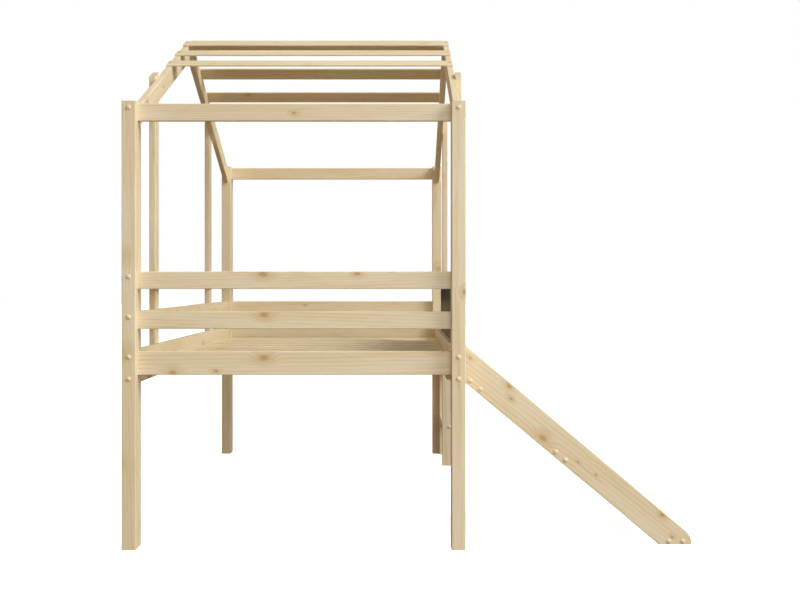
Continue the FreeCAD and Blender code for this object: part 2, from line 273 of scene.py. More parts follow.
class StageLook(bpy.types.PropertyGroup):
    """The floor, the light and the camera's place."""

    floor: bpy.props.FloatVectorProperty(
        name="Floor", description="Pale studio floor",
        subtype="COLOR", default=linear("#F6F6F6"))
    floor_glow: bpy.props.FloatProperty(
        name="Floor glow", description="Light that the floor gives by itself", default=0.92)
    floor_reach: bpy.props.FloatProperty(
        name="Floor reach", description="Half the floor's width",
        unit="LENGTH", default=40)
    backdrop: bpy.props.FloatVectorProperty(
        name="Backdrop", description="White surround that the camera sees",
        subtype="COLOR", default=linear("#FFFFFF"))
    sky_low: bpy.props.FloatVectorProperty(
        name="Low sky", description="Warm light from under the horizon",
        subtype="COLOR", default=linear("#684A1E"))
    sky_high: bpy.props.FloatVectorProperty(
        name="High sky", description="Light from overhead",
        subtype="COLOR", default=linear("#E4E1D9"))
    sky_shine: bpy.props.FloatVectorProperty(
        name="Sky shine", description="Dim surround that shiny faces mirror",
        subtype="COLOR", default=linear("#15120F"))
    sky_lean: bpy.props.FloatVectorProperty(
        name="Sky lean", description="Towards the brightest sky",
        subtype="DIRECTION", default=(0.45, 0.0, 0.9))
    key_place: bpy.props.FloatVectorProperty(
        name="Key place", description="Key light from the middle of the whole part",
        unit="LENGTH", default=(9.6, -4.8, 7.5))
    key_colour: bpy.props.FloatVectorProperty(
        name="Key colour", description="Colour of the key light and of the bounced light",
        subtype="COLOR", default=linear("#FFFFFF"))
    key_power: bpy.props.FloatProperty(
        name="Key power", description="Power of the key light",
        unit="POWER", default=1310)
    key_size: bpy.props.FloatProperty(
        name="Key size", description="Width of the key light",
        unit="LENGTH", default=7.5)
    fill_place: bpy.props.FloatVectorProperty(
        name="Fill place", description="Fill light from the middle of the whole part",
        unit="LENGTH", default=(0.4, -4.25, -0.1))
    fill_colour: bpy.props.FloatVectorProperty(
        name="Fill colour", description="Colour of the fill light",
        subtype="COLOR", default=linear("#F1F8FF"))
    fill_power: bpy.props.FloatProperty(
        name="Fill power", description="Power of the fill light",
        unit="POWER", default=41)
    fill_size: bpy.props.FloatProperty(
        name="Fill size", description="Width of the fill light",
        unit="LENGTH", default=2.5)
    bounce_place: bpy.props.FloatVectorProperty(
        name="Bounce place", description="Bounce board from the middle of the whole part",
        unit="LENGTH", default=(-6.5, 4.5, -0.45))
    bounce_power: bpy.props.FloatProperty(
        name="Bounce power", description="Power of the bounced light",
        unit="POWER", default=120)
    bounce_size: bpy.props.FloatProperty(
        name="Bounce size", description="Width of the bounce board",
        unit="LENGTH", default=1.5)
    distance: bpy.props.FloatProperty(
        name="Distance", description="Camera to the foot posts",
        unit="LENGTH", default=3.585)
    side: bpy.props.FloatProperty(
        name="Side", description="Camera to the slide side of the bed's middle",
        unit="LENGTH", default=0.2987)
    height: bpy.props.FloatProperty(
        name="Height", description="Camera above the floor",
        unit="LENGTH", default=0.761)


def middle(node):
    """The middle of a node's box."""
    low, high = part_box(node)
    return (low + high) / 2


def direction(start, end):
    """The unit direction from one node's middle to another's."""
    return (middle(end) - middle(start)).normalized()


def scattered_marks(tree, grain, cell, radius, stretch):
    """Round marks scattered through a board: how many of its own radii a point is from the nearest mark."""
    length, width, depth = cell
    place = add(tree, "ShaderNodeVectorMath", {0: grain, 1: (1 / length, 1 / width, 1 / depth)},
                operation="MULTIPLY").outputs[0]
    spots = add(tree, "ShaderNodeTexVoronoi", {"Vector": place, "Scale": 1, "Randomness": CELL_SCATTER})
    away = add(tree, "ShaderNodeVectorMath", {0: place, 1: spots.outputs["Position"]}, operation="SUBTRACT")
    mark_size = (length / stretch, width, depth / MARK_DEPTH_IN_RADII)
    metres = add(tree, "ShaderNodeVectorMath", {0: away.outputs[0], 1: mark_size}, operation="MULTIPLY")
    gap = add(tree, "ShaderNodeVectorMath", {0: metres.outputs[0]}, operation="LENGTH")
    chance = add(tree, "ShaderNodeSeparateColor", {"Color": spots.outputs["Color"]})
    reach = add(tree, "ShaderNodeMapRange",
                {"Value": chance.outputs[0], "To Min": SMALLEST_MARK_SHARE * radius, "To Max": radius})
    near = add(tree, "ShaderNodeMath", {0: gap.outputs["Value"], 1: reach.outputs[0]}, operation="DIVIDE")
    missing = add(tree, "ShaderNodeMath", {0: chance.outputs[1], 1: MARKED_CELLS_SHARE},
                  operation="GREATER_THAN")
    return add(tree, "ShaderNodeMath", {0: missing.outputs[0], 1: NO_KNOT, 2: near.outputs[0]},
               operation="MULTIPLY_ADD").outputs[0]


def nearest_knot(tree, grain, known):
    """How many of its own radii a point is from the nearest knot, scattered or known. The outline wobbles."""
    look = bpy.context.scene.house_bed_pine
    cell = (look.knot_spacing, KNOT_CELL_WIDTH, KNOT_CELL_DEPTH)
    scattered = scattered_marks(tree, grain, cell, look.knot_radius, KNOT_STRETCH)
    nearest = add(tree, "ShaderNodeMath", {0: scattered, 1: known}, operation="MINIMUM")
    wobble = add(tree, "ShaderNodeTexNoise",
                 {"Vector": grain, "Scale": KNOT_WOBBLES / look.knot_radius, "Detail": 1})
    return add(tree, "ShaderNodeMath", {0: wobble.outputs[0], 1: KNOT_WOBBLE_SHARE, 2: nearest.outputs[0]},
               operation="MULTIPLY_ADD").outputs[0]


def late_wood(tree, grain, halo):
    """Year rings along the board that bend round the knots: nothing in early wood, up to one in late wood."""
    look = bpy.context.scene.house_bed_pine
    long_grain = add(tree, "ShaderNodeVectorMath", {0: grain, 1: (RING_ALONG_SHARE, 1, 1)},
                     operation="MULTIPLY")
    bend = add(tree, "ShaderNodeMath", {0: halo, 1: RING_PUSH}, operation="MULTIPLY")
    rings = add(tree, "ShaderNodeTexWave",
                {"Vector": long_grain.outputs[0], "Scale": WAVE_SPACING / look.ring_spacing,
                 "Distortion": 3.5, "Detail": 2, "Detail Scale": 0.35, "Phase Offset": bend.outputs[0]},
                wave_type="RINGS", rings_direction="X", wave_profile="SAW")
    return add(tree, "ShaderNodeMapRange", {"Value": rings.outputs["Fac"], "From Min": 0.35, "From Max": 1},
               interpolation_type="SMOOTHSTEP").outputs[0]


def streaks(tree, grain, length, width, detail):
    """Uneven streaks along the grain, of about that length and width."""
    place = add(tree, "ShaderNodeVectorMath", {0: grain, 1: (1 / length, 1 / width, 1 / width)},
                operation="MULTIPLY")
    return add(tree, "ShaderNodeTexNoise",
               {"Vector": place.outputs[0], "Scale": 1, "Detail": detail}).outputs[0]


def clear_wood(tree, grain, late, fibre):
    """The colour of pine away from its knots: pale wood with honey patches, rings and fine fibre."""
    look = bpy.context.scene.house_bed_pine
    patch = streaks(tree, grain, PATCH_LENGTH, PATCH_WIDTH, 2)
    warm = add(tree, "ShaderNodeMapRange", {"Value": patch, "From Min": 0.35, "From Max": 0.7},
               interpolation_type="SMOOTHSTEP")
    ground = add(tree, "ShaderNodeMix",
                 {0: warm.outputs[0], MIX_A: opaque(look.early), MIX_B: opaque(look.honey)},
                 data_type="RGBA").outputs[MIX_RESULT]
    ring_depth = add(tree, "ShaderNodeMapRange",
                     {"Value": patch, "From Min": NOISE_LOW, "From Max": NOISE_HIGH,
                      "To Min": 0.1, "To Max": 0.4})
    ring_share = add(tree, "ShaderNodeMath", {0: late, 1: ring_depth.outputs[0]}, operation="MULTIPLY")
    ringed = add(tree, "ShaderNodeMix",
                 {0: ring_share.outputs[0], MIX_A: ground, MIX_B: opaque(look.late)},
                 data_type="RGBA").outputs[MIX_RESULT]
    thread = add(tree, "ShaderNodeMapRange",
                 {"Value": fibre, "From Min": NOISE_LOW, "From Max": NOISE_HIGH,
                  "To Min": 0.95, "To Max": 1.03})
    return add(tree, "ShaderNodeVectorMath", {0: ringed, "Scale": thread.outputs[0]},
               operation="SCALE").outputs[0]


def knotty_wood(tree, grain, clear, knot, core, halo, resin):
    """The colour of pine with its marks: dark wisps and stains, resin streaks, and ringed knots."""
    look = bpy.context.scene.house_bed_pine
    wisp = streaks(tree, grain, WISP_LENGTH, WISP_WIDTH, 2)
    wisp_share = add(tree, "ShaderNodeMapRange",
                     {"Value": wisp, "From Min": 0.56, "From Max": 0.75, "To Min": 0, "To Max": 0.4})
    stain = add(tree, "ShaderNodeMath", {0: halo, 1: STAIN_COVER_SHARE, 2: wisp_share.outputs[0]},
                operation="MULTIPLY_ADD")
    stained = add(tree, "ShaderNodeMix",
                  {0: stain.outputs[0], MIX_A: clear, MIX_B: opaque(look.late)},
                  data_type="RGBA").outputs[MIX_RESULT]
    sap = add(tree, "ShaderNodeMath", {0: resin, 1: RESIN_COVER_SHARE}, operation="MULTIPLY")
    sapped = add(tree, "ShaderNodeMix",
                 {0: sap.outputs[0], MIX_A: stained, MIX_B: opaque(look.knot_light)},
                 data_type="RGBA").outputs[MIX_RESULT]
    turns = add(tree, "ShaderNodeMath", {0: knot, 1: KNOT_TURN}, operation="MULTIPLY")
    swirl = add(tree, "ShaderNodeMath", {0: turns.outputs[0]}, operation="SINE")
    swirl_share = add(tree, "ShaderNodeMapRange",
                      {"Value": swirl.outputs[0], "From Min": -1, "From Max": 1,
                       "To Min": 0.1, "To Max": 0.6})
    knot_colour = add(tree, "ShaderNodeMix",
                      {0: swirl_share.outputs[0], MIX_A: opaque(look.knot_light),
                       MIX_B: opaque(look.knot_dark)},
                      data_type="RGBA").outputs[MIX_RESULT]
    core_share = add(tree, "ShaderNodeMath", {0: core, 1: KNOT_COVER_SHARE}, operation="MULTIPLY")
    return add(tree, "ShaderNodeMix", {0: core_share.outputs[0], MIX_A: sapped, MIX_B: knot_colour},
               data_type="RGBA").outputs[MIX_RESULT]


def pine_group():
    """Planed pine under a clear matt lacquer: pale rings along the board, knots that the rings bend
    round, short resin streaks, and ring arcs with a darker tone where the ends are sawn across."""
    look = bpy.context.scene.house_bed_pine
    tree = bpy.data.node_groups.new("Planed pine", "ShaderNodeTree")
    for name in ("Grain", "Facing"):
        tree.interface.new_socket(name, in_out="INPUT", socket_type="NodeSocketVector")
    tree.interface.new_socket("Knot", in_out="INPUT", socket_type="NodeSocketFloat").default_value = NO_KNOT
    tree.interface.new_socket("Colour", in_out="OUTPUT", socket_type="NodeSocketColor")
    for name in ("Roughness", "Height"):
        tree.interface.new_socket(name, in_out="OUTPUT", socket_type="NodeSocketFloat")
    given = add(tree, "NodeGroupInput")
    grain = given.outputs["Grain"]

    knot = nearest_knot(tree, grain, given.outputs["Knot"])
    sap = scattered_marks(tree, grain, RESIN_CELL, RESIN_RADIUS, RESIN_STRETCH)
    core, halo, resin = (
        add(tree, "ShaderNodeMapRange",
            {"Value": away, "From Min": start, "From Max": end, "To Min": 1, "To Max": 0},
            interpolation_type="SMOOTHSTEP").outputs[0]
        for away, (start, end) in ((knot, KNOT_CORE), (knot, KNOT_HALO), (sap, RESIN_EDGE)))
    late = late_wood(tree, grain, halo)
    fibre = streaks(tree, grain, FIBRE_STRETCH * look.fibre_spacing, look.fibre_spacing, 3)
    clear = clear_wood(tree, grain, late, fibre)
    knotty = knotty_wood(tree, grain, clear, knot, core, halo, resin)

    facing = add(tree, "ShaderNodeSeparateXYZ", {0: given.outputs["Facing"]})
    sawn = add(tree, "ShaderNodeMath", {0: facing.outputs[0]}, operation="ABSOLUTE")
    end_tone = add(tree, "ShaderNodeMapRange",
                   {"Value": sawn.outputs[0], "From Min": 0.75, "From Max": 0.98,
                    "To Min": 1, "To Max": 0.84})
    shaded = add(tree, "ShaderNodeVectorMath", {0: knotty, "Scale": end_tone.outputs[0]}, operation="SCALE")
    lacquer = add(tree, "ShaderNodeMapRange",
                  {"Value": fibre, "From Min": 0.2, "From Max": 0.8, "To Min": 0.44, "To Max": 0.6})
    gloss = add(tree, "ShaderNodeMath", {0: core, 1: -KNOT_POLISH, 2: lacquer.outputs[0]},
                operation="MULTIPLY_ADD")
    lift = add(tree, "ShaderNodeMath", {0: late, 1: LATE_WOOD_LIFT, 2: fibre}, operation="MULTIPLY_ADD")
    add(tree, "NodeGroupOutput",
        {"Colour": shaded.outputs[0], "Roughness": gloss.outputs[0], "Height": lift.outputs[0]})
    return tree


def empty_material(name):
    """A new material with no nodes yet, and its node tree."""
    material = bpy.data.materials.new(name)
    material.use_nodes = True
    material.node_tree.nodes.clear()
    return material, material.node_tree


def log_cut(name, length, width):
    """How a board was cut from the log: the turn that lays its length along X, and its place in the log."""
    number = sorted(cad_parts).index(name)
    depth = length.cross(width).normalized()
    across = depth.cross(length).normalized()
    lean = Matrix.Rotation(GRAIN_LEAN * math.sin(LEAN_TURN * number), 3, "Y")
    drift = LOG_DRIFT * math.sin(DRIFT_TURN * number)
    pith = PITH_DISTANCE + PITH_CHANGE * math.cos(PITH_TURN * number)
    return lean @ Matrix((length, across, depth)), Vector((LOG_STEP * number, drift, pith))


def slat_grain(tree, grain, pitch):
    """Grain for slats in one node that lie at a pitch: each slat is cut further along the log."""
    row = add(tree, "ShaderNodeVectorMath", {0: grain, 1: (0, pitch, 0)}, operation="SNAP").outputs[0]
    inside = add(tree, "ShaderNodeVectorMath", {0: grain, 1: row}, operation="SUBTRACT")
    jump = add(tree, "ShaderNodeVectorMath", {0: row, 1: (0, 0, SLAT_JUMP_IN_PITCHES)},
               operation="CROSS_PRODUCT")
    return add(tree, "ShaderNodeVectorMath", {0: inside.outputs[0], 1: jump.outputs[0]},
               operation="ADD").outputs[0]


def photo_knots(tree, grain, name, turn, place):
    """How many of its own radii a point is from the nearest knot that the photograph shows on a board."""
    nearest = NO_KNOT
    for pixel, radius in PHOTO_KNOTS.get(name, ()):
        centre = turn @ photo_point(pixel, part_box(name)[0].y) + place
        away = add(tree, "ShaderNodeVectorMath", {0: grain, 1: centre}, operation="SUBTRACT")
        per_radius = (1 / (PHOTO_KNOT_STRETCH * radius), 1 / radius, 1 / (MARK_DEPTH_IN_RADII * radius))
        radii = add(tree, "ShaderNodeVectorMath", {0: away.outputs[0], 1: per_radius}, operation="MULTIPLY")
        near = add(tree, "ShaderNodeVectorMath", {0: radii.outputs[0]}, operation="LENGTH")
        nearest = add(tree, "ShaderNodeMath", {0: near.outputs["Value"], 1: nearest},
                      operation="MINIMUM").outputs[0]
    return nearest


def pine(name, length, width, pitch=0, first=0):
    """Pine for one board, with its grain along length. A node of slats also gives their pitch and the place
    of the first one."""
    material, tree = empty_material(f"Planed pine {name}")
    turn, place = log_cut(name, length, width)
    if pitch:
        place.y = pitch / 2 - first
    angles = turn.to_euler("XYZ")
    where = add(tree, "ShaderNodeTexCoord")
    board = add(tree, "ShaderNodeMapping",
                {"Vector": where.outputs["Object"], "Location": place, "Rotation": angles}).outputs[0]
    facing = add(tree, "ShaderNodeMapping", {"Vector": where.outputs["Normal"], "Rotation": angles},
                 vector_type="VECTOR")
    wood = add(tree, "ShaderNodeGroup",
               {"Grain": slat_grain(tree, board, pitch) if pitch else board, "Facing": facing.outputs[0],
                "Knot": photo_knots(tree, board, name, turn, place)},
               node_tree=bpy.data.node_groups.get("Planed pine") or pine_group())
    bump = add(tree, "ShaderNodeBump",
               {"Height": wood.outputs["Height"], "Strength": 0.12, "Distance": GRAIN_RELIEF})
    surface = add(tree, "ShaderNodeBsdfPrincipled",
                  {"Base Color": wood.outputs["Colour"], "Roughness": wood.outputs["Roughness"],
                   "Normal": bump.outputs[0], "IOR": 1.5, "Specular IOR Level": 0.4})
    add(tree, "ShaderNodeOutputMaterial", {"Surface": surface.outputs[0]})
    return material


def moulded_cap():
    """Injection moulded polyethylene: smooth, slightly waxy, with a faint mottle from the tool."""
    look = bpy.context.scene.house_bed_fittings
    material, tree = empty_material("Moulded polyethylene")
    where = add(tree, "ShaderNodeTexCoord")
    mottle = add(tree, "ShaderNodeTexNoise",
                 {"Vector": where.outputs["Object"], "Scale": 1 / CAP_MOTTLE, "Detail": 2}).outputs[0]
    tone = add(tree, "ShaderNodeMapRange",
               {"Value": mottle, "From Min": NOISE_LOW, "From Max": NOISE_HIGH,
                "To Min": 0.95, "To Max": 1.03})
    base = add(tree, "ShaderNodeVectorMath", {0: look.cap, "Scale": tone.outputs[0]}, operation="SCALE")
    gloss = add(tree, "ShaderNodeMapRange",
                {"Value": mottle, "From Min": NOISE_LOW, "From Max": NOISE_HIGH,
                 "To Min": 0.26, "To Max": 0.36})
    surface = add(tree, "ShaderNodeBsdfPrincipled",
                  {"Base Color": base.outputs[0], "Roughness": gloss.outputs[0], "IOR": 1.51})
    add(tree, "ShaderNodeOutputMaterial", {"Surface": surface.outputs[0]})
    return material


def zinc_plate():
    """Yellow zinc plated steel: a warm, half shiny metal with fine blotches of crystal in the plating."""
    look = bpy.context.scene.house_bed_fittings
    material, tree = empty_material("Zinc plate")
    where = add(tree, "ShaderNodeTexCoord")
    blotch = add(tree, "ShaderNodeTexNoise",
                 {"Vector": where.outputs["Object"], "Scale": 1 / ZINC_BLOTCH, "Detail": 3}).outputs[0]
    tone = add(tree, "ShaderNodeMapRange",
               {"Value": blotch, "From Min": NOISE_LOW, "From Max": NOISE_HIGH,
                "To Min": 0.85, "To Max": 1.05})
    base = add(tree, "ShaderNodeVectorMath", {0: look.zinc, "Scale": tone.outputs[0]}, operation="SCALE")
    gloss = add(tree, "ShaderNodeMapRange",
                {"Value": blotch, "From Min": NOISE_LOW, "From Max": NOISE_HIGH,
                 "To Min": 0.28, "To Max": 0.42})
    surface = add(tree, "ShaderNodeBsdfPrincipled",
                  {"Base Color": base.outputs[0], "Roughness": gloss.outputs[0], "Metallic": 1})
    add(tree, "ShaderNodeOutputMaterial", {"Surface": surface.outputs[0]})
    return material


def board_paint():
    """Fibreboard under rolled chalkboard paint: black, with a roller's stipple that mirrors faintly at a
    low angle, and a thin bloom of chalk dust wiped along it."""
    look = bpy.context.scene.house_bed_fittings
    material, tree = empty_material("Rolled chalkboard paint")
    where = add(tree, "ShaderNodeTexCoord")
    stipple = add(tree, "ShaderNodeTexNoise",
                  {"Vector": where.outputs["Object"], "Scale": 1 / ROLLER_STIPPLE, "Detail": 3}).outputs[0]
    wiped = add(tree, "ShaderNodeMapping",
                {"Vector": where.outputs["Object"], "Scale": (1, 1 / DUST_LENGTH, 1 / DUST_HEIGHT)})
    dust = add(tree, "ShaderNodeTexNoise", {"Vector": wiped.outputs[0], "Scale": 1, "Detail": 5})
    bloom = add(tree, "ShaderNodeMapRange",
                {"Value": dust.outputs[0], "From Min": 0.45, "From Max": 0.8, "To Min": 0, "To Max": 0.05})
    base = add(tree, "ShaderNodeMix",
               {0: bloom.outputs[0], MIX_A: opaque(look.slate), MIX_B: opaque(look.chalk)},
               data_type="RGBA").outputs[MIX_RESULT]
    gloss = add(tree, "ShaderNodeMapRange",
                {"Value": stipple, "From Min": NOISE_LOW, "From Max": NOISE_HIGH,
                 "To Min": 0.32, "To Max": 0.42})
    bump = add(tree, "ShaderNodeBump", {"Height": stipple, "Strength": 0.15, "Distance": STIPPLE_RELIEF})
    surface = add(tree, "ShaderNodeBsdfPrincipled",
                  {"Base Color": base, "Roughness": gloss.outputs[0], "Normal": bump.outputs[0],
                   "Specular IOR Level": 0.12})
    add(tree, "ShaderNodeOutputMaterial", {"Surface": surface.outputs[0]})
    return material


def dress(node, material):
    """Give a CAD node its finish."""
    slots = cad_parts[node].data.materials
    slots.clear()
    slots.append(material)


def dress_boards(names, length, width):
    """Give boards that lie the same way their own cuts of the same pine."""
    for name in names:
        dress(name, pine(name, length, width))


def camera_place():
    """Where the camera stands: in front of the foot posts, a little towards the slide."""
    look = bpy.context.scene.house_bed_stage
    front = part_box("foot_left_post")[0].y
    bed_middle = (middle("foot_left_post").x + middle("foot_right_post").x) / 2
    return Vector((bed_middle + look.side, front - look.distance, look.height))


def photo_point(pixel, depth):
    """The point that a pixel of the photograph shows, on an upright plane at that depth along the bed."""
    eye = camera_place()
    scale = (depth - eye.y) / FOCAL_PIXELS
    right = (pixel[0] - LOOK_PIXEL[0]) * scale
    down = (pixel[1] - LOOK_PIXEL[1]) * scale
    return Vector((eye.x + right, depth, eye.z - down))


def single_fixings(shape):
    """The bolts or screws in a node's merged mesh, each as a list of its faces."""
    shape.faces.index_update()
    seen = set()
    for first in shape.faces:
        if first in seen:
            continue
        fixing = set()
        fresh = {first}
        while fresh:
            fixing |= fresh
            fresh = {face for known in fresh for edge in known.edges for face in edge.link_faces} - fixing
        seen |= fixing
        yield sorted(fixing, key=lambda face: face.index)


def fixing_places(node):
    """Each bolt or screw of a node: the middle of the flat under its head, the way that the head faces,
    and the head's radius and height."""
    shape = bmesh.new()
    shape.from_mesh(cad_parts[node].data)
    bmesh.ops.remove_doubles(shape, verts=shape.verts, dist=WELD)
    places = []
    for fixing in single_fixings(shape):
        areas = {}
        for face in fixing:
            facing = tuple(round(part, 2) for part in face.normal)
            areas[facing] = areas.get(facing, 0) + face.calc_area()
        out = -Vector(max(areas, key=areas.get)).normalized()
        flat = {vert for face in fixing if face.normal.dot(out) < -FLAT_COSINE for vert in face.verts}
        level = max(vert.co.dot(out) for vert in flat)
        rim = [vert.co for vert in flat if vert.co.dot(out) > level - WELD]
        seat = sum(rim, Vector()) / len(rim)
        radius = max((point - seat).length for point in rim)
        height = max(vert.co.dot(out) for face in fixing for vert in face.verts) - level
        places.append((seat, out, radius, height))
    shape.free()
    return places


def dome(radius, low, high):
    """The outline of a dome, from just above its rim to its top."""
    angles = [math.pi / 2 * step / DOME_STEPS for step in range(1, DOME_STEPS + 1)]
    return [(radius * math.cos(angle), low + (high - low) * math.sin(angle)) for angle in angles]


def turned(profile, sides):
    """A closed round shape, from its outline of radius and height turned about the upright axis."""
    shape = bmesh.new()
    points = [shape.verts.new((radius, 0, height)) for radius, height in profile]
    edges = [shape.edges.new(pair) for pair in zip(points, points[1:])]
    bmesh.ops.spin(shape, geom=points + edges, cent=(0, 0, 0), axis=UP, angle=math.tau, steps=sides,
                   use_merge=True)
    bmesh.ops.remove_doubles(shape, verts=shape.verts, dist=WELD)
    bmesh.ops.recalc_face_normals(shape, faces=shape.faces)
    return shape


def cap_shape(radius, height):
    """A pressed-on cover cap: an upright lip, a small step and a dome."""
    lip = bpy.context.scene.house_bed_fittings.cap_lip
    edge = LIP_EDGE_SHARE * lip
    step = radius - lip / 2
    rim = [(0, 0), (radius, 0), (radius, lip - edge), (radius - edge, lip), (step, lip)]
    return turned(rim + dome(step, lip, height), CAP_SIDES)


def screw_shape(radius, height):
    """A low domed screw head with a cross recess pressed into it."""
    shape = turned([(0, 0), (radius, 0)] + dome(radius, 0, height), SCREW_SIDES)
    for vert in shape.verts:
        reach = math.hypot(vert.co.x, vert.co.y) / radius
        cross = math.cos(2 * math.atan2(vert.co.y, vert.co.x)) ** RECESS_ARM_POWER
        arm = RECESS_MIDDLE_SHARE + RECESS_ARM_SHARE * cross
        if vert.co.z > 0 and reach < arm:
            vert.co.z -= RECESS_DEPTH_SHARE * height * (1 - reach / arm)
    return shape


def fixing_heads(name, node, make, material):
    """Set the heads of a node's bolts or screws on their seats, as one piece that stands for the node."""
    whole = bmesh.new()
    for seat, out, radius, height in fixing_places(node):
        head = make(radius, height)
        turn = UP.rotation_difference(out).to_matrix().to_4x4()
        bmesh.ops.transform(head, matrix=Matrix.Translation(seat) @ turn, verts=head.verts)
        mesh = bpy.data.meshes.new(f"{name}_one")
        head.to_mesh(mesh)
        head.free()
        whole.from_mesh(mesh)
        bpy.data.meshes.remove(mesh)
    for face in whole.faces:
        face.smooth = True
    mesh = bpy.data.meshes.new(name)
    whole.to_mesh(mesh)
    whole.free()
    mesh.set_sharp_from_angle(angle=SHARP_ANGLE)
    mesh.materials.append(material)
    piece = bpy.data.objects.new(name, mesh)
    bpy.context.scene.collection.objects.link(piece)
    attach(piece, BODY)
    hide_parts(node)


class HOUSEBED_OT_posts(bpy.types.Operator):
    """Dress the four corner posts"""

    bl_idname = "house_bed.posts"
    bl_label = "Posts"

    def execute(self, context):
        dress_boards([f"{end}_{side}_post" for end in ENDS for side in SIDES], UP, ALONG)
        return {"FINISHED"}


class HOUSEBED_OT_end_boards(bpy.types.Operator):
    """Dress the beams, guards and rails across the two ends"""

    bl_idname = "house_bed.end_boards"
    bl_label = "End boards"

    def execute(self, context):
        kinds = ("top_beam", "upper_guard", "lower_guard", "rail")
        dress_boards([f"{end}_{kind}" for end in ENDS for kind in kinds], ACROSS, UP)
        return {"FINISHED"}


class HOUSEBED_OT_long_sides(bpy.types.Operator):
    """Dress the rails and guards along the sides, and the studs outside them"""

    bl_idname = "house_bed.long_sides"
    bl_label = "Long sides"

    def execute(self, context):
        dress_boards([f"{side}_side_rail" for side in SIDES], ALONG, UP)
        dress_boards(["left_upper_guard", "left_lower_guard"], ALONG, UP)
        dress_boards([f"{side}_{end}_stud" for side in SIDES for end in ENDS], UP, ALONG)
        return {"FINISHED"}


class HOUSEBED_OT_roof(bpy.types.Operator):
    """Dress the rafters, the ridge beam and the roof slats"""

    bl_idname = "house_bed.roof"
    bl_label = "Roof"

    def execute(self, context):
        for end in ENDS:
            slope = direction(f"{end}_roof_slat_3", f"{end}_roof_slat_1")
            dress_boards([f"{side}_{end}_rafter" for side in SIDES], slope, slope.cross(ACROSS))
            dress_boards([f"{end}_roof_slat_{number}" for number in (1, 2, 3)], ACROSS, slope)
        dress_boards(["ridge_beam"], ACROSS, UP)
        return {"FINISHED"}


class HOUSEBED_OT_deck(bpy.types.Operator):
    """Dress the deck slats and the cleats under them"""

    bl_idname = "house_bed.deck"
    bl_label = "Deck"

    def execute(self, context):
        rows = sorted({round(seat.y, 4) for seat, *_ in fixing_places("deck_screws")})
        dress("deck_slats", pine("deck_slats", ACROSS, ALONG, rows[1] - rows[0], rows[0]))
        dress_boards([f"{side}_cleat" for side in SIDES], ALONG, UP)
        return {"FINISHED"}


class HOUSEBED_OT_ladder(bpy.types.Operator):
    """Dress the ladder's stiles and treads"""

    bl_idname = "house_bed.ladder"
    bl_label = "Ladder"

    def execute(self, context):
        dress_boards([f"ladder_{end}_stile" for end in ENDS], UP, ACROSS)
        dress_boards(["ladder_lower_tread", "ladder_upper_tread"], ALONG, ACROSS)
        return {"FINISHED"}


class HOUSEBED_OT_slide(bpy.types.Operator):
    """Dress the slide's cheeks, bed and bars"""

    bl_idname = "house_bed.slide"
    bl_label = "Slide"

    def execute(self, context):
        slope = direction("slide_top_bar", "slide_middle_bar")
        dress_boards([f"slide_{end}_cheek" for end in ENDS], slope, slope.cross(ALONG))
        dress_boards(["slide_bed"], slope, ALONG)
        dress_boards(["slide_top_bar", "slide_middle_bar", "slide_toe_bar"], ALONG, slope)
        return {"FINISHED"}


class HOUSEBED_OT_chalkboard(bpy.types.Operator):
    """Paint the chalkboard inside the studs"""

    bl_idname = "house_bed.chalkboard"
    bl_label = "Chalkboard"

    def execute(self, context):
        dress("chalkboard", board_paint())
        return {"FINISHED"}


class HOUSEBED_OT_cover_caps(bpy.types.Operator):
    """Set a cover cap over each bolt"""

    bl_idname = "house_bed.cover_caps"
    bl_label = "Cover caps"

    def execute(self, context):
        material = moulded_cap()
        for group in ("post_end", "end_board", "slide", "ladder"):
            fixing_heads(f"{group}_cover_caps", f"{group}_bolts", cap_shape, material)
        return {"FINISHED"}


class HOUSEBED_OT_screw_heads(bpy.types.Operator):
    """Set the screw heads in the studs, cleats, deck, roof and chalkboard"""

    bl_idname = "house_bed.screw_heads"
    bl_label = "Screw heads"

    def execute(self, context):
        material = zinc_plate()
        for group in ("stud", "cleat", "deck", "roof", "chalkboard"):
            fixing_heads(f"{group}_screw_heads", f"{group}_screws", screw_shape, material)
        return {"FINISHED"}


def floor_paint():
    """Pale painted studio floor: even and matt, and lit from within so that it stays nearly white."""
    look = bpy.context.scene.house_bed_stage
    material = bpy.data.materials.new("Studio floor paint")
    material.use_nodes = True
    surface = material.node_tree.nodes["Principled BSDF"]
    surface.inputs["Base Color"].default_value = opaque(look.floor)
    surface.inputs["Roughness"].default_value = 0.9
    surface.inputs["Specular IOR Level"].default_value = 0
    surface.inputs["Emission Color"].default_value = opaque(look.floor)
    surface.inputs["Emission Strength"].default_value = look.floor_glow
    return material


def studio_floor():
    """A wide floor that takes the bed's shadow, but gives the bed no light and shows in no reflection."""
    look = bpy.context.scene.house_bed_stage
    shape = bmesh.new()
    bmesh.ops.create_grid(shape, x_segments=1, y_segments=1, size=look.floor_reach)
    mesh = bpy.data.meshes.new("studio_floor")
    shape.to_mesh(mesh)
    shape.free()
    mesh.materials.append(floor_paint())
    floor = bpy.data.objects.new("studio_floor", mesh)
    floor.visible_diffuse = False
    floor.visible_glossy = False
    bpy.context.scene.collection.objects.link(floor)


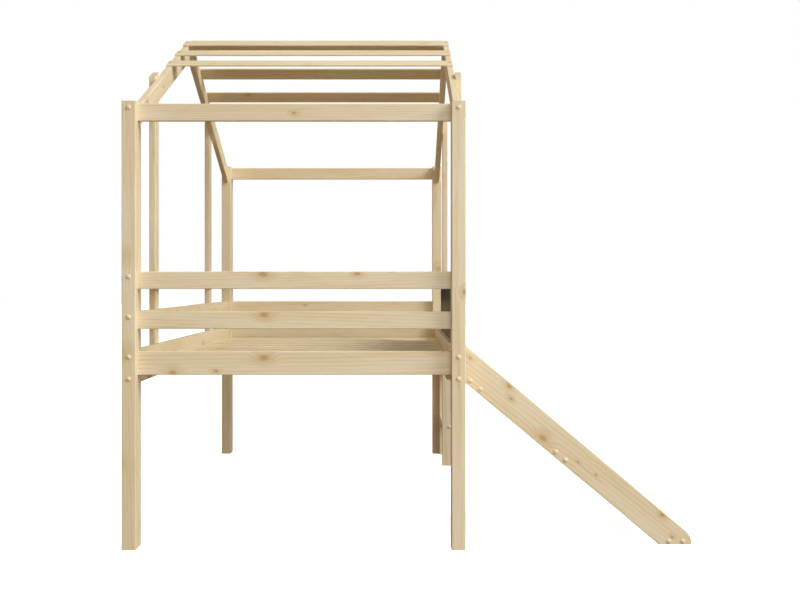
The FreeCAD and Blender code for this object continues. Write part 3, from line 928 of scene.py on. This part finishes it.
def studio_sky():
    """A white surround for the camera, a dim one for reflections, and for the light a soft sky that leans:
    brightest overhead on the slide's side, and darkest below on the other."""
    look = bpy.context.scene.house_bed_stage
    world = bpy.data.worlds.new("Studio sky")
    world.use_nodes = True
    tree = world.node_tree
    tree.nodes.clear()
    where = add(tree, "ShaderNodeTexCoord")
    height = add(tree, "ShaderNodeVectorMath", {0: where.outputs["Generated"], 1: look.sky_lean},
                 operation="DOT_PRODUCT").outputs["Value"]
    rise = add(tree, "ShaderNodeMapRange",
               {"Value": height, "From Min": SKY_DARKEST, "From Max": SKY_BRIGHTEST},
               interpolation_type="SMOOTHSTEP").outputs[0]
    light = add(tree, "ShaderNodeMix",
                {0: rise, MIX_A: opaque(look.sky_low), MIX_B: opaque(look.sky_high)},
                data_type="RGBA").outputs[MIX_RESULT]
    path = add(tree, "ShaderNodeLightPath")
    mirrored = add(tree, "ShaderNodeMix",
                   {0: path.outputs["Is Glossy Ray"], MIX_A: light, MIX_B: opaque(look.sky_shine)},
                   data_type="RGBA").outputs[MIX_RESULT]
    seen = add(tree, "ShaderNodeMix",
               {0: path.outputs["Is Camera Ray"], MIX_A: mirrored, MIX_B: opaque(look.backdrop)},
               data_type="RGBA").outputs[MIX_RESULT]
    sky = add(tree, "ShaderNodeBackground", {"Color": seen})
    add(tree, "ShaderNodeOutputWorld", {"Surface": sky.outputs[0]})
    return world


def soft_light(name, place, target, colour, power, size):
    """A round soft light at a place, aimed at a target."""
    light = bpy.data.lights.new(name, "AREA")
    light.shape = "DISK"
    light.size = size
    light.color = colour
    light.energy = power
    lamp = bpy.data.objects.new(name, light)
    lamp.location = place
    lamp.rotation_euler = (target - place).to_track_quat("-Z", "Y").to_euler()
    bpy.context.scene.collection.objects.link(lamp)


def photo_camera():
    """The camera, where the photograph was taken and with the photograph's framing."""
    lens = bpy.data.cameras.new("Photo camera")
    lens.sensor_width = SENSOR_WIDTH
    lens.lens = SENSOR_WIDTH * FOCAL_PIXELS / PHOTO_WIDTH
    lens.shift_x = (PHOTO_MIDDLE[0] - LOOK_PIXEL[0]) / PHOTO_WIDTH
    lens.shift_y = (LOOK_PIXEL[1] - PHOTO_MIDDLE[1]) / PHOTO_WIDTH
    camera = bpy.data.objects.new("Photo camera", lens)
    camera.location = camera_place()
    camera.rotation_euler = (math.pi / 2, 0, 0)
    bpy.context.scene.collection.objects.link(camera)
    bpy.context.scene.camera = camera


class HOUSEBED_OT_stage(bpy.types.Operator):
    """Lay the floor, set the lights and stand the camera where the photograph was taken"""

    bl_idname = "house_bed.stage"
    bl_label = "Stage"

    def execute(self, context):
        look = context.scene.house_bed_stage
        studio_floor()
        context.scene.world = studio_sky()
        target = (cad_box[0] + cad_box[1]) / 2
        key = target + Vector(look.key_place)
        fill = target + Vector(look.fill_place)
        bounce = target + Vector(look.bounce_place)
        soft_light("Key light", key, target, look.key_colour, look.key_power, look.key_size)
        soft_light("Fill light", fill, target, look.fill_colour, look.fill_power, look.fill_size)
        soft_light("Bounce light", bounce, target, look.key_colour, look.bounce_power, look.bounce_size)
        photo_camera()
        context.scene.view_settings.view_transform = "Standard"
        return {"FINISHED"}


OPERATORS = (
    HOUSEBED_OT_posts,
    HOUSEBED_OT_end_boards,
    HOUSEBED_OT_long_sides,
    HOUSEBED_OT_roof,
    HOUSEBED_OT_deck,
    HOUSEBED_OT_ladder,
    HOUSEBED_OT_slide,
    HOUSEBED_OT_chalkboard,
    HOUSEBED_OT_cover_caps,
    HOUSEBED_OT_screw_heads,
    HOUSEBED_OT_stage,
)
LOOKS = {"house_bed_pine": PineLook, "house_bed_fittings": FittingsLook, "house_bed_stage": StageLook}


class HOUSEBED_PT_panel(bpy.types.Panel):
    """The colours and sizes of the looks, and the steps that dress the bed"""

    bl_idname = "HOUSEBED_PT_panel"
    bl_label = "House bed"
    bl_space_type = "VIEW_3D"
    bl_region_type = "UI"
    bl_category = "House bed"

    def draw(self, context):
        for look_name, look in LOOKS.items():
            box = self.layout.box()
            for name in look.__annotations__:
                box.prop(getattr(context.scene, look_name), name)
        for operator in OPERATORS:
            self.layout.operator(operator.bl_idname)


def register():
    """Add the looks, the steps and the panel to Blender."""
    for cls in (*LOOKS.values(), *OPERATORS, HOUSEBED_PT_panel):
        bpy.utils.register_class(cls)
    for look_name, look in LOOKS.items():
        setattr(bpy.types.Scene, look_name, bpy.props.PointerProperty(type=look))


def unregister():
    """Take the panel, the steps and the looks out of Blender again."""
    for look_name in LOOKS:
        delattr(bpy.types.Scene, look_name)
    for cls in (HOUSEBED_PT_panel, *reversed(OPERATORS), *reversed(LOOKS.values())):
        bpy.utils.unregister_class(cls)


def main():
    """Dress the bed step by step."""
    register()
    bpy.ops.house_bed.posts()
    bpy.ops.house_bed.end_boards()
    bpy.ops.house_bed.long_sides()
    bpy.ops.house_bed.roof()
    bpy.ops.house_bed.deck()
    bpy.ops.house_bed.ladder()
    bpy.ops.house_bed.slide()
    bpy.ops.house_bed.chalkboard()
    bpy.ops.house_bed.cover_caps()
    bpy.ops.house_bed.screw_heads()
    bpy.ops.house_bed.stage()


if __name__ == "__main__":
    main()
